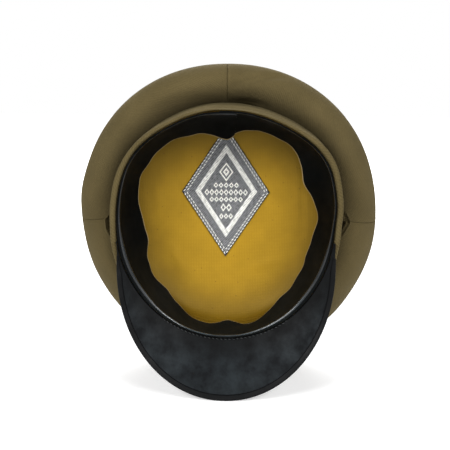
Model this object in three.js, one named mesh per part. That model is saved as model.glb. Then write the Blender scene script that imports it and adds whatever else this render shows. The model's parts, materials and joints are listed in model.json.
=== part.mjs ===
// A peaked uniform cap of wool cloth, with a leatherette peak, sweatband and a twill lining.
// It is drawn as it is worn: x to the wearer's right, y forward, z up, with the lower edge of
// the band at z = 0. At the end it is stood on its front, on the edge of the peak and the front
// of the crown's rim, with its opening facing -Y and its back upwards.
// Angles go round the head from the front (0) to the wearer's right (90). Sizes are millimetres.
import * as THREE from "three";

const radian = Math.PI / 180;
const seamGap = 0.3; // between pieces that are sewn together

const head = { halfLength: 95, halfWidth: 90 }; // the opening, for a head 58 cm round
const band = { height: 48, inside: 3.3, outside: 6.5 }; // the wall, outwards from the opening
const hem = { inside: 1.5, outside: 7, height: 6 }; // the rolled lower edge of the band
const rim = {
  centre: 7.5, // how far the crown is pushed forward over the head
  halfWidth: 133.5,
  frontReach: 139.4,
  backReach: 138.7,
  frontSquareness: 1.97, // 2 is an ellipse, more is squarer
  backSquareness: 2.11,
  height: 78,
  forwardSlope: 0.131, // the rim rises towards the front
  restDepth: 3.2, // how much of the cloth rim is pressed flat where the cap stands on it
};
const cloth = { wall: 2.3, roll: 13, spread: 0.42, dome: 10, flatShare: 0.25 };
const sweatband = { wall: 1.3, rollWall: 1.7, foot: -0.6, height: 38, curl: 1.6 };
const lining = { wall: 1.2, outside: 2.9, foot: 41, side: 48, ceiling: 68, squareness: 5 };
const label = { halfWidth: 38.5, halfLength: 58, centre: -18, wall: 0.8, gap: 0.45 };
const peak = {
  halfWidth: 91.1,
  straight: 34, // forward of this line the edge is a round arc
  arcReach: 108.2,
  squareness: 2.04,
  drop: 30 * radian, // how steeply it slopes down
  wall: 2.5,
  start: 0, // height of its upper face at the band
  bindingEnd: 75,
  tailEnd: 82,
  tailWidth: 0.8,
  restDepth: 1.4,
};
const binding = { lip: 4.8, wall: 0.8, edge: 1.1, round: 1, fullAt: 8 };
const tent = { reach: 6.5, height: 3.4, along: 0.28, length: 0.16 };

// How far the sweatband's free edge leans into the opening: one row for each turn of its wave.
const sweatbandWaves = [
  { at: 0, lean: 2.2 },
  { at: 12, lean: 0.5 },
  { at: 24, lean: 0.8 },
  { at: 50, lean: 7.2 },
  { at: 70, lean: 14 },
  { at: 90, lean: 11.7 },
  { at: 114, lean: 16.2 },
  { at: 131, lean: 9.4 },
  { at: 156, lean: 12.3 },
  { at: 174, lean: 18.8 },
  { at: 200, lean: 16.4 },
  { at: 222, lean: 9 },
  { at: 242, lean: 7.6 },
  { at: 256, lean: 10.4 },
  { at: 276, lean: 19.3 },
  { at: 292, lean: 15.3 },
  { at: 320, lean: 8.7 },
  { at: 336, lean: 2.4 },
  { at: 348, lean: 0.5 },
];

// A smooth closed curve through the rows of a table, read at any angle.
function readRound(rows, column, angle) {
  const degrees = THREE.MathUtils.euclideanModulo(angle / radian, 360);
  const count = rows.length;
  const next = rows.findIndex((row) => row.at > degrees);
  const after = next < 0 ? count : next;
  const rowAt = (k) => {
    const turns = Math.floor(k / count);
    const row = rows[THREE.MathUtils.euclideanModulo(k, count)];
    return { at: row.at + 360 * turns, value: row[column] };
  };
  const [before, from, to, beyond] = [-2, -1, 0, 1].map((k) => rowAt(after + k));
  const span = to.at - from.at;
  const share = (degrees - from.at) / span;
  const slopeFrom = ((to.value - before.value) / (to.at - before.at)) * span;
  const slopeTo = ((beyond.value - from.value) / (beyond.at - from.at)) * span;
  const square = share * share;
  const cube = square * share;
  return (
    from.value * (2 * cube - 3 * square + 1) +
    slopeFrom * (cube - 2 * square + share) +
    to.value * (3 * square - 2 * cube) +
    slopeTo * (cube - square)
  );
}

function outwardAt(angle) {
  const across = Math.sin(angle) / head.halfWidth;
  const forward = Math.cos(angle) / head.halfLength;
  return new THREE.Vector2(across, forward).normalize();
}

// A point in plan, a given distance outside the head opening.
function ringPoint(angle, outset) {
  const across = head.halfWidth * Math.sin(angle);
  const forward = head.halfLength * Math.cos(angle);
  return new THREE.Vector2(across, forward).addScaledVector(outwardAt(angle), outset);
}

function rimPoint(angle) {
  const isFront = Math.cos(angle) > 0;
  const squareness = isFront ? rim.frontSquareness : rim.backSquareness;
  const bend = (value) => Math.sign(value) * Math.abs(value) ** (2 / squareness);
  const reach = isFront ? rim.frontReach : rim.backReach;
  const across = rim.halfWidth * bend(Math.sin(angle));
  const forward = rim.centre + reach * bend(Math.cos(angle));
  return new THREE.Vector2(across, Math.min(forward, rimRestLine));
}

function rimHeight(forward) {
  return rim.height + rim.forwardSlope * (forward - rim.centre);
}

// One closed solid through a row of stations, each a loop of points. With no end caps
// the last station joins the first; otherwise the caps' triangles close the two ends.
function solidThrough(stations, caps) {
  const corners = [];
  const triangles = [];
  const known = new Map();
  const cornerOf = (point) => {
    const key = point.toArray().map((value) => Math.round(value * 1e4)).join();
    if (!known.has(key)) {
      known.set(key, corners.length / 3);
      corners.push(...point.toArray());
    }
    return known.get(key);
  };
  const addTriangle = (...points) => {
    const [a, b, c] = points.map(cornerOf);
    if (a !== b && b !== c && c !== a) {
      triangles.push([a, b, c]);
    }
  };
  const bays = caps ? stations.length - 1 : stations.length;
  for (let i = 0; i < bays; i += 1) {
    const here = stations[i];
    const there = stations[(i + 1) % stations.length];
    for (let j = 0; j < here.length; j += 1) {
      const k = (j + 1) % here.length;
      addTriangle(here[j], there[j], there[k]);
      addTriangle(here[j], there[k], here[k]);
    }
  }
  const last = stations[stations.length - 1];
  for (const [a, b, c] of caps ?? []) {
    addTriangle(stations[0][a], stations[0][b], stations[0][c]);
    addTriangle(last[c], last[b], last[a]);
  }
  const place = (corner) => new THREE.Vector3().fromArray(corners, 3 * corner);
  const volume = triangles.reduce((sum, [a, b, c]) => {
    return sum + place(a).dot(place(b).cross(place(c)));
  }, 0);
  const facing = volume > 0 ? triangles : triangles.map(([a, b, c]) => [a, c, b]);
  const geometry = new THREE.BufferGeometry();
  geometry.setAttribute("position", new THREE.Float32BufferAttribute(corners, 3));
  geometry.setIndex(facing.flat());
  geometry.computeVertexNormals();
  return geometry;
}

// The caps of a wall: its loop runs along one face and back along the other.
function wallCaps(count) {
  const caps = [];
  for (let j = 0; j < count - 1; j += 1) {
    const back = 2 * count - 1 - j;
    caps.push([j, back - 1, back], [j, j + 1, back - 1]);
  }
  return caps;
}

function spread(from, to, steps) {
  return Array.from({ length: steps + 1 }, (_, k) => from + ((to - from) * k) / steps);
}

function aroundHead(steps) {
  return spread(0, 2 * Math.PI, steps).slice(0, steps);
}

function lift(plan, height) {
  return new THREE.Vector3(plan.x, plan.y, height);
}

// A side panel's section: from the top of the band outwards, then rolled up to the rim.
function quarterStation(angle, steps) {
  const start = ringPoint(angle, band.inside);
  const end = rimPoint(angle);
  const outward = end.clone().sub(start);
  const run = outward.length();
  outward.normalize();
  const foot = band.height + 2 * seamGap;
  const top = rimHeight(end.y);
  const section = new THREE.CubicBezierCurve(
    new THREE.Vector2(0, foot),
    new THREE.Vector2(cloth.spread * run, foot + 0.12 * (top - foot)),
    new THREE.Vector2(run, top - cloth.roll),
    new THREE.Vector2(run, top),
  );
  const outside = [];
  const inside = [];
  for (const share of spread(0, 1, steps)) {
    const across = section.getTangent(share);
    const inwards = new THREE.Vector2(-across.y, across.x);
    const point = section.getPoint(share).addScaledVector(inwards, -tentHeight(angle, share));
    const toSpace = (p) => lift(start.clone().addScaledVector(outward, p.x), p.y);
    outside.push(toSpace(point));
    inside.push(toSpace(point.clone().addScaledVector(inwards, cloth.wall)));
  }
  return [...outside, ...inside.reverse()];
}

// The cloth stands out in a small tent where a side seam meets the band.
function tentHeight(angle, share) {
  const fromSide = Math.acos(Math.min(1, Math.abs(Math.sin(angle)))) / radian;
  const round = Math.exp(-((fromSide / tent.reach) ** 2));
  const along = Math.max(0, 1 - Math.abs(share - tent.along) / tent.length);
  return tent.height * round * along;
}

function quarter(fromDegrees) {
  const gap = 0.08 * radian;
  const angles = spread(fromDegrees * radian + gap, (fromDegrees + 90) * radian - gap, 18);
  const steps = 7;
  return solidThrough(angles.map((angle) => quarterStation(angle, steps)), wallCaps(steps + 1));
}

function domeShare(share) {
  return Math.sqrt(1 - Math.max(share, cloth.flatShare) ** 3);
}

// The top panel: flat in the middle and rounded down to the rim.
function crownTop() {
  const centre = new THREE.Vector2(0, rim.centre);
  const outsideShares = [0, cloth.flatShare, 0.5, 0.72, 0.87, 0.95, 0.985];
  const insideShares = [0.9, 0.72, 0.5, cloth.flatShare, 0];
  const stations = aroundHead(52).map((angle) => {
    const edge = rimPoint(angle).sub(centre);
    const innerEdge = edge.clone().setLength(edge.length() - cloth.wall);
    const at = (reach, share, drop) => {
      const plan = centre.clone().addScaledVector(reach, share);
      const rise = share < 1 ? cloth.dome * domeShare(share) - drop : 0;
      return lift(plan, rimHeight(plan.y) + seamGap + rise);
    };
    return [
      ...outsideShares.map((share) => at(edge, share, 0)),
      at(edge, 1, 0),
      at(innerEdge, 1, 0),
      ...insideShares.map((share) => at(innerEdge, share, cloth.wall)),
    ];
  });
  return solidThrough(stations);
}

// The band's wall with its hem rolled under: the section's points, outwards and up.
function bandRing() {
  const middle = (hem.inside + hem.outside) / 2;
  const half = (hem.outside - hem.inside) / 2;
  const roll = spread(180, 360, 4).map((turn) => ({
    out: middle + half * Math.cos(turn * radian),
    up: hem.height / 2 + (hem.height / 2) * Math.sin(turn * radian),
  }));
  const section = [
    { out: band.inside, up: band.height },
    { out: band.inside, up: hem.height + 1.5 },
    { out: hem.inside, up: hem.height - 1 },
    ...roll,
    { out: hem.outside, up: hem.height - 1 },
    { out: band.outside, up: hem.height + 1.5 },
    { out: band.outside, up: band.height },
  ];
  return solidThrough(
    aroundHead(60).map((angle) => section.map(({ out, up }) => lift(ringPoint(angle, out), up))),
  );
}

// The sweatband folds up inside the opening, and its free edge leans in.
function sweatbandRing() {
  const heights = [3, 10, 20, 30, sweatband.height];
  const stations = aroundHead(66).map((angle) => {
    const lean = readRound(sweatbandWaves, "lean", angle);
    const at = (out, up) => {
      const inwards = lean * Math.max(0, up / sweatband.height) ** sweatband.curl;
      return lift(ringPoint(angle, out - inwards), up);
    };
    const outer = hem.inside - seamGap;
    const inner = outer - sweatband.wall;
    return [
      at(outer, 0.4),
      ...heights.map((up) => at(outer, up)),
      ...heights.toReversed().map((up) => at(inner, up)),
      at(outer - sweatband.rollWall, 0.4),
      at(outer - sweatband.wall / 2, sweatband.foot),
    ];
  });
  return solidThrough(stations);
}

// Height of the lining's upper face at a share of the way from the middle to its side.
function liningHeight(share) {
  const rise = lining.ceiling - lining.side;
  return lining.side + rise * Math.sqrt(1 - share ** lining.squareness);
}

function liningShell() {
  const shares = [0, 0.4, 0.66, 0.83, 0.94];
  const stations = aroundHead(44).map((angle) => {
    const upper = ringPoint(angle, lining.outside);
    const lower = ringPoint(angle, lining.outside - lining.wall);
    return [
      ...shares.map((share) => lift(upper.clone().multiplyScalar(share), liningHeight(share))),
      lift(upper, lining.side),
      lift(upper, lining.foot),
      lift(lower, lining.foot),
      lift(lower, lining.side),
      ...shares
        .toReversed()
        .map((share) =>
          lift(lower.clone().multiplyScalar(share), liningHeight(share) - lining.wall),
        ),
    ];
  });
  return solidThrough(stations);
}

// The patch is a lozenge that follows the underside of the lining.
function labelPatch() {
  const shares = spread(-0.5, 0.5, 8);
  const sideLength = head.halfLength + lining.outside - lining.wall;
  const sideWidth = head.halfWidth + lining.outside - lining.wall;
  const stations = shares.map((first) => {
    const plan = shares.map((second) => {
      const across = label.halfWidth * (first - second);
      return new THREE.Vector2(across, label.centre + label.halfLength * (first + second));
    });
    const under = plan.map((p) => {
      const share = Math.hypot(p.x / sideWidth, p.y / sideLength);
      return liningHeight(share) - lining.wall - label.gap;
    });
    const top = plan.map((p, k) => lift(p, under[k]));
    const bottom = plan.map((p, k) => lift(p, under[k] - label.wall));
    return [...top, ...bottom.reverse()];
  });
  return solidThrough(stations, wallCaps(shares.length));
}

// Whether a point in plan lies within the outline of the peak.
function underPeak({ x, y }) {
  const forward = Math.max(0, y - peak.straight) / peak.arcReach;
  const round = (Math.abs(x) / peak.halfWidth) ** peak.squareness + forward ** peak.squareness;
  return round < 1 && y < peakRestLine;
}

// How far the peak's outline stands out from the band, measured in plan.
function peakReach(angle) {
  const inner = hem.inside;
  let [near, far] = [0, 2 * peak.arcReach];
  while (far - near > 1e-5) {
    const middle = (near + far) / 2;
    if (underPeak(ringPoint(angle, inner + middle))) {
      near = middle;
    } else {
      far = middle;
    }
  }
  return near;
}

// A point of the peak: out from the band in plan, and up from its upper face.
function peakPoint(angle, out, up) {
  return lift(ringPoint(angle, hem.inside + out), peak.start - out * Math.tan(peak.drop) + up);
}

// The binding and the tongue inside it shrink where the peak narrows to its tails.
function bindingSize(angle) {
  return Math.min(1, peakReach(angle) / binding.fullAt);
}

function peakPlate() {
  const end = peak.tailEnd * radian;
  const shares = spread(0, 1, 4);
  const stations = spread(-end, end, 48).map((angle) => {
    const reach = peakReach(angle) - (binding.edge + seamGap) * bindingSize(angle);
    const width = Math.max(peak.tailWidth, reach);
    const top = shares.map((share) => peakPoint(angle, share * width, 0));
    const bottom = shares.map((share) => peakPoint(angle, share * width, -peak.wall));
    return [...top, ...bottom.reverse()];
  });
  return solidThrough(stations, wallCaps(shares.length));
}

// The binding's section is a channel, open towards the plate that it wraps.
function peakBinding() {
  const end = peak.bindingEnd * radian;
  const half = peak.wall / 2;
  const inside = half + seamGap;
  const outside = inside + binding.wall;
  const outline = [
    { back: binding.lip, up: outside },
    { back: binding.round, up: outside },
    { back: 0, up: outside - binding.round },
    { back: 0, up: binding.round - outside },
    { back: binding.round, up: -outside },
    { back: binding.lip, up: -outside },
    { back: binding.lip, up: -inside },
    { back: binding.edge, up: -inside },
    { back: binding.edge, up: inside },
    { back: binding.lip, up: inside },
  ];
  const flat = outline.map(({ back, up }) => new THREE.Vector2(back, up));
  const caps = THREE.ShapeUtils.triangulateShape(flat, []);
  const stations = spread(-end, end, 44).map((angle) => {
    const reach = peakReach(angle);
    const size = bindingSize(angle);
    return outline.map(({ back, up }) => {
      const skin = Math.sign(up) * (Math.abs(up) - half) * size;
      const height = Math.abs(up) > half ? Math.sign(up) * half + skin : up;
      return peakPoint(angle, reach - back * size, height - half);
    });
  });
  return solidThrough(stations, caps);
}

const rimRestLine = rim.centre + rim.frontReach - rim.restDepth;
const peakRestLine = peak.straight + peak.arcReach - peak.restDepth;

const woolCloth = new THREE.MeshStandardMaterial({ color: 0x6b6040, roughness: 0.95 });
const hemCloth = new THREE.MeshStandardMaterial({ color: 0x75694a, roughness: 0.95 });
const sweatLeather = new THREE.MeshStandardMaterial({ color: 0x16191a, roughness: 0.55 });
const liningTwill = new THREE.MeshStandardMaterial({ color: 0xa8843a, roughness: 0.7 });
const labelCloth = new THREE.MeshStandardMaterial({ color: 0x4a4a4a, roughness: 0.8 });
const peakSheet = new THREE.MeshStandardMaterial({ color: 0x23272b, roughness: 0.45 });
const bindingEdge = new THREE.MeshStandardMaterial({ color: 0x0d0e10, roughness: 0.3 });

function piece(name, geometry, material) {
  const mesh = new THREE.Mesh(geometry, material);
  mesh.name = name;
  return mesh;
}

const worn = new THREE.Group();
worn.add(
  piece("crown_top", crownTop(), woolCloth),
  piece("quarter_front_right", quarter(0), woolCloth),
  piece("quarter_back_right", quarter(90), woolCloth),
  piece("quarter_back_left", quarter(180), woolCloth),
  piece("quarter_front_left", quarter(270), woolCloth),
  piece("band", bandRing(), hemCloth),
  piece("sweatband", sweatbandRing(), sweatLeather),
  piece("lining", liningShell(), liningTwill),
  piece("label_patch", labelPatch(), labelCloth),
  piece("peak", peakPlate(), peakSheet),
  piece("peak_binding", peakBinding(), bindingEdge),
);

// Stood on its front: forward turns down, and the cap leans back until the edge of the peak
// and the rim of the crown are level.
const reachAtTip = peakRestLine - ringPoint(0, hem.inside).y;
const tipFlat = peak.wall / 2 + seamGap + binding.wall - binding.round;
const tipHeight = peakPoint(0, reachAtTip, -peak.wall / 2 - tipFlat).z;
const lean = Math.atan2(rimRestLine - peakRestLine, rimHeight(rimRestLine) - tipHeight);
worn.rotation.x = -Math.PI / 2 + lean;

const cap = new THREE.Group();
cap.add(worn);
const box = new THREE.Box3().setFromObject(cap, true);
const middle = box.getCenter(new THREE.Vector3());
worn.position.set(-middle.x, -middle.y, -box.min.z);

export default cap;
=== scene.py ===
import json
import math
import bmesh
import bpy
import numpy as np
from mathutils import Matrix, Vector


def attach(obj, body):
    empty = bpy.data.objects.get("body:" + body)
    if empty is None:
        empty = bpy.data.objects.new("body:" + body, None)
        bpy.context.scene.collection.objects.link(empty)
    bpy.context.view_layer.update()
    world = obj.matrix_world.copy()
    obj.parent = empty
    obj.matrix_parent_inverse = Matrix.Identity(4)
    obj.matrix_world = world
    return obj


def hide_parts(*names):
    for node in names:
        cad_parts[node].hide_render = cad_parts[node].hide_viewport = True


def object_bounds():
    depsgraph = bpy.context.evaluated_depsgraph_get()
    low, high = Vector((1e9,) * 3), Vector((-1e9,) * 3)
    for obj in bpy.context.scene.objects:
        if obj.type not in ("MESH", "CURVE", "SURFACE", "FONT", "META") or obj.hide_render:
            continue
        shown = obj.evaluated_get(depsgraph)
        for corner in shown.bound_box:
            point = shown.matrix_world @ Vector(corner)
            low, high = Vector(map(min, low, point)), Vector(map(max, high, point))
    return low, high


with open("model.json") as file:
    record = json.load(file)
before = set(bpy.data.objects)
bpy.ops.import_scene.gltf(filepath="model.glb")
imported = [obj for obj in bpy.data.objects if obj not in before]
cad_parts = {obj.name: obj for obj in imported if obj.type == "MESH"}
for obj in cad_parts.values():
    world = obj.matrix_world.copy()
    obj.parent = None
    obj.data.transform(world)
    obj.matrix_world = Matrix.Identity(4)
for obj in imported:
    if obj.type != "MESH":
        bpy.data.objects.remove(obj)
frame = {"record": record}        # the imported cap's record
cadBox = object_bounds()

# A peaked cap of khaki wool, stood on its front so that the head opening faces the camera.
# Lengths are millimetres in the cap as it is worn: x to the wearer's right, y forward and z up,
# from the middle of the head opening. toFrame turns them into metres where the cap stands.
# Angles are degrees round the head, from the front (0) to the wearer's right (90).

seamGap = 0.3  # between pieces that are sewn together
creaseAngle = math.radians(55)  # edges sharper than this stay crisp
head = {
    "halfLength": 95, "halfWidth": 90,
    # How far wear has pushed the soft ring out of its oval, every 10 degrees from the front.
    "waves": [0.7, 0.6, 0.6, 0.5, 0.2, -0.4, -0.9, -1, -1.4, -1.1, 1.3, 3.5, 5.7, 5.1, 2.7, 0.7, -0.4,
              -0.8, -1, -0.6, -0.5, 0.2, 1.8, 3.6, 3.8, 2.5, 1.1, 0.4, 0.8, 1.1, 0.8, 0.8, 0.8,
              0.8, 0.8, 0.8],
}
rim = {
    "centre": 7.5, "halfWidth": 133.5, "frontReach": 139.4, "backReach": 138.7,
    "frontSquareness": 1.97, "backSquareness": 2.11,
    "height": 78, "forwardSlope": 0.131,
    "restDepth": 1.8,  # how far the cloth is pressed flat where the cap stands on it
    # Where the soft rim stands out a little more: angle, how far, and half the width in degrees.
    "bulges": [(262, 1.6, 9), (76, 0.8, 14)],
}


def linear(hexColour):
    channels = [int(hexColour[k:k + 2], 16) / 255 for k in (1, 3, 5)]
    return [c / 12.92 if c <= 0.04045 else ((c + 0.055) / 1.055) ** 2.4 for c in channels] + [1.0]


def smoothStep(value):
    t = np.clip(value, 0, 1)
    return t * t * (3 - 2 * t)


def hump(distance, width):
    return np.exp(-(distance / width) ** 2)


def unit(vectors):
    return vectors / np.linalg.norm(vectors, axis=-1, keepdims=True)


# How far places are from a line that starts at 0, and the share of the line they are beside.
def besideLine(places, line):
    share = np.clip(places @ line / (line @ line), 0, 1)
    return np.linalg.norm(places - share[..., None] * line, axis=-1), share


# The angle from the front, to either side.
def fromFront(degrees):
    return np.abs(np.mod(degrees + 180, 360) - 180)


# A cubic curve through its first and last numbers, drawn towards the two between, and its slope.
def cubic(t, a, b, c, d):
    return (1 - t) ** 3 * a + 3 * (1 - t) ** 2 * t * b + 3 * (1 - t) * t**2 * c + t**3 * d


def cubicSlope(t, a, b, c, d):
    return 3 * ((1 - t) ** 2 * (b - a) + 2 * (1 - t) * t * (c - b) + t**2 * (d - c))


# Steps from 0 to total: closest at the two ends, so that edges can be rounded there.
def gradedSteps(total, fine, coarse, reach):
    edge = np.array([0, 0.12, 0.3, 0.55, 0.9, 1.3, 1.8])
    near = np.concatenate([edge, np.arange(edge[-1] + fine, reach, fine)])
    count = max(2, round((total - 2 * reach) / coarse))
    return np.concatenate([near, np.linspace(reach, total - reach, count + 1), total - near[::-1]])


# A smooth closed curve through numbers spaced evenly round the head, read at any angle.
def readRound(values, degrees):
    values = np.asarray(values, float)
    count = len(values)
    place = np.mod(degrees, 360) / 360 * count
    start = np.floor(place).astype(int)
    share = place - start
    a, b, c, d = [values[(start + k) % count] for k in (-1, 0, 1, 2)]
    return b + share * (c - a + share * (2 * a - 5 * b + 4 * c - d + share * (3 * (b - c) + d - a))) / 2


def outwardAt(degrees):
    turn = np.radians(degrees)
    return unit(np.stack([np.sin(turn) / head["halfWidth"], np.cos(turn) / head["halfLength"]], -1))


# A point in plan, a given distance outside the head opening.
def ringPoint(degrees, outset):
    turn = np.radians(degrees)
    edge = np.stack([head["halfWidth"] * np.sin(turn), head["halfLength"] * np.cos(turn)], -1)
    return edge + outwardAt(degrees) * (readRound(head["waves"], degrees) + outset)[..., None]


def rimPoint(degrees):
    turn = np.radians(degrees)
    front = np.cos(turn) > 0
    power = 2 / np.where(front, rim["frontSquareness"], rim["backSquareness"])
    reach = np.where(front, rim["frontReach"], rim["backReach"])
    across = rim["halfWidth"] * np.sign(np.sin(turn)) * np.abs(np.sin(turn)) ** power
    forward = rim["centre"] + reach * np.sign(np.cos(turn)) * np.abs(np.cos(turn)) ** power
    for angle, out, width in rim["bulges"]:
        across = across + np.sign(across) * out * hump(np.mod(degrees, 360) - angle, width)
    restLine = rim["centre"] + rim["frontReach"] - rim["restDepth"]
    return np.stack([across, np.minimum(forward, restLine)], -1)


def rimHeight(forward):
    return rim["height"] + rim["forwardSlope"] * (forward - rim["centre"])


def lift(plan, height):
    height = np.broadcast_to(height, plan.shape[:-1])
    return np.concatenate([plan, height[..., None]], -1)


# How the worn cap is turned and moved to stand: the crown's flat middle lands on its mount.
def findPlacement():
    rest = next(m for m in frame["record"]["mounts"] if m["name"] == "crown_rest")
    turn = math.atan2(rest["axis"][2], rest["axis"][1]) - math.atan2(1, -rim["forwardSlope"])
    spin = Matrix.Rotation(turn, 3, "X")
    top = rim["height"] + seamGap + crownTop["dome"] * domeShare(0)
    return np.array(spin), np.array(rest["pos_m"]) - np.array(spin @ Vector((0, rim["centre"], top))) / 1000


def toFrame(points):
    spin, shift = placement
    return np.asarray(points, float) @ spin.T / 1000 + shift


def addObject(name, data):
    added = bpy.data.objects.new(name, data)
    bpy.context.scene.collection.objects.link(added)
    return added


# A mesh piece from points in the worn cap, faces, and the faces' own uv corners in metres.
def addPiece(name, solid, materials, nodes=(), faceMaterials=None):
    points, faces, uvs = solid
    mesh = bpy.data.meshes.new(name)
    mesh.from_pydata(toFrame(points).tolist(), [], faces.tolist())
    layer = mesh.uv_layers.new(name="cloth")
    layer.data.foreach_set("uv", np.asarray(uvs, np.float32).ravel())
    for material in materials:
        mesh.materials.append(material)
    if faceMaterials is not None:
        mesh.polygons.foreach_set("material_index", np.asarray(faceMaterials, np.int32))
    work = bmesh.new()
    work.from_mesh(mesh)
    bmesh.ops.remove_doubles(work, verts=work.verts, dist=1e-7)  # closes the middles of round panels
    bmesh.ops.recalc_face_normals(work, faces=work.faces)
    work.to_mesh(mesh)
    work.free()
    mesh.shade_smooth()
    mesh.set_sharp_from_angle(angle=creaseAngle)
    piece = addObject(name, mesh)
    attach(piece, "root")
    if nodes:
        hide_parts(*nodes)
    return piece


# The points, faces and uv corners of a solid swept through stations, each a loop of points.
# closed: the last station joins the first; otherwise its two ends are capped, and each loop runs
# along one face and back on the other. hub: the loop starts and ends on the solid's axis.
# uv holds the distances along and across, in millimetres; without it the plan is used.
def sweep(stations, uv=None, closed=True, hub=False):
    count, size = stations.shape[:2]
    rows, columns = np.meshgrid(np.arange(count if closed else count - 1),
                                np.arange(size - 1 if hub else size), indexing="ij")
    rows, columns = rows.ravel(), columns.ravel()
    nextRow, nextColumn = (rows + 1) % count, (columns + 1) % size
    faces = np.stack([rows * size + columns, nextRow * size + columns,
                      nextRow * size + nextColumn, rows * size + nextColumn], 1)
    points = stations.reshape(-1, 3)
    if uv is None:
        uvs = points[faces][..., :2]
    else:
        u, v = uv
        corners = [(rows, columns), (rows + 1, columns), (rows + 1, columns + 1), (rows, columns + 1)]
        uvs = np.stack([np.stack([u[i], v[j]], -1) for i, j in corners], 1)
    if not closed:
        near = np.arange(size // 2 - 1)
        first = np.stack([near, near + 1, size - 2 - near, size - 1 - near], 1)
        ends = np.concatenate([first, (count - 1) * size + first[:, ::-1]])
        faces = np.concatenate([faces, ends])
        uvs = np.concatenate([uvs, points[ends][..., :2]])
    return points, faces, uvs / 1000


# Several solids as one.
def joined(solids):
    points, faces, uvs = zip(*solids)
    starts = np.cumsum([0] + [len(some) for some in points])
    shifted = [some + start for some, start in zip(faces, starts)]
    return np.concatenate(points), np.concatenate(shifted), np.concatenate(uvs)


# Running length through a row of points, closed back to the first.
def lengthsRound(points):
    steps = np.linalg.norm(np.roll(points, -1, 0) - points, axis=-1)
    return np.concatenate([[0], np.cumsum(steps)])


def newMaterial(name):
    material = bpy.data.materials.new(name)
    material.use_nodes = True
    material.node_tree.nodes.clear()
    return material


# Adds a shader node. settings are its own values, its sockets' values, or a ramp's stops as
# (place, colour). links feed its sockets from sockets, or from the first outputs of other nodes.
def addNode(owner, kind, settings=None, links=None):
    node = owner.node_tree.nodes.new("ShaderNode" + kind)
    for key, value in (settings or {}).items():
        if key == "stops":
            for stop, (position, colour) in zip(node.color_ramp.elements, value):
                stop.position, stop.color = position, linear(colour)
        elif isinstance(key, int) or key in node.inputs:
            node.inputs[key].default_value = value
        else:
            setattr(node, key, value)
    for key, source in (links or {}).items():
        output = source.outputs[0] if isinstance(source, bpy.types.Node) else source
        owner.node_tree.links.new(output, node.inputs[key])
    return node


def noiseScale(size):
    return 1000 / size


# Noise in patches of about a size, in millimetres.
def addNoise(m, place, size, detail, roughness=0.5):
    return addNode(m, "TexNoise", {"Scale": noiseScale(size), "Detail": detail, "Roughness": roughness},
                   {"Vector": place})


# Parallel waves a spacing apart, in millimetres. The texture repeats every pi / 10 at scale 1.
def addWaves(m, place, spacing, distortion, detail, detailScale, direction="X"):
    waves = addNode(m, "TexWave", {"Scale": math.pi / 10 / (spacing / 1000), "Distortion": distortion,
                                   "Detail": detail, "Detail Scale": detailScale,
                                   "bands_direction": direction}, {"Vector": place})
    return waves.outputs["Fac"]


# A value carried from one range over to another.
def addRange(m, value, start, end, kind="LINEAR"):
    return addNode(m, "MapRange", {"interpolation_type": kind, "From Min": start[0], "From Max": start[1],
                                   "To Min": end[0], "To Max": end[1]}, {"Value": value})


def addRamp(m, value, *stops):
    return addNode(m, "ValToRGB", {"stops": stops}, {"Fac": value})


# A colour multiplied by a value.
def multiplied(m, colour, value):
    return addNode(m, "MixRGB", {"blend_type": "MULTIPLY", "Fac": 1.0},
                   {"Color1": colour, "Color2": value})


# The surface of a cloth or a skin, with its weave or grain raised by a depth in millimetres.
def addSurface(m, settings, colour, relief, depth, strength=0.4, **links):
    bump = addNode(m, "Bump", {"Strength": strength, "Distance": depth / 1000}, {"Height": relief})
    surface = addNode(m, "BsdfPrincipled", settings, {"Base Color": colour, "Normal": bump, **links})
    addNode(m, "OutputMaterial", {}, {"Surface": surface})
    return m


# Fulled wool twill, pressed: matt and warm, with faint diagonal ribs, a soft nap that lights up
# at glancing angles, and slow changes of tone where the cloth has been handled. The optional
# darkening is painted shade where the cloth lies in shadow beside the band: where it starts and
# ends, in millimetres across the cloth, and how dark it gets.
def fulledWoolTwill(name, ribSpacing=1.6, ribDepth=0.05, ribTurn=45, paintedShade=None):
    m = newMaterial(name)
    places = addNode(m, "TexCoord").outputs
    # The ribs of real cloth are 0.7 mm apart; these are wider, so that they show.
    turned = addNode(m, "Mapping", {"Rotation": (0, 0, math.radians(ribTurn))}, {"Vector": places["UV"]})
    ribs = addWaves(m, turned, ribSpacing, 0.8, 2, 3)
    nap = addNoise(m, places["Object"], 1.2, 5, 0.7)
    tone = addRamp(m, addNoise(m, places["Object"], 34, 3), (0.3, "#4c4228"), (0.72, "#554a2e"))
    fleck = addRange(m, nap, (0.35, 0.65), (0.9, 1.1))
    ribTone = addRange(m, ribs, (0, 1), (1 - ribDepth, 1 + ribDepth * 0.6))
    colour = multiplied(m, tone, addNode(m, "Math", {"operation": "MULTIPLY"}, {0: fleck, 1: ribTone}))
    # Painted shade: the cloth is darker across its width towards the band.
    if paintedShade:
        across = addNode(m, "SeparateXYZ", {}, {"Vector": places["UV"]}).outputs["Y"]
        colour = multiplied(m, colour, addRange(m, across, (paintedShade["from"] / 1000, paintedShade["to"] / 1000),
                                                (paintedShade["darkest"], 1), "SMOOTHSTEP"))
    relief = addNode(m, "Math", {"operation": "MULTIPLY_ADD", 1: 0.6}, {0: nap, 2: ribs})
    return addSurface(m, {"Roughness": 0.92, "Specular IOR Level": 0.15, "Sheen Weight": 0.25,
                          "Sheen Roughness": 0.5, "Sheen Tint": linear("#8c7f58")},
                      colour, relief, 0.3, strength=0.5)


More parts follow.
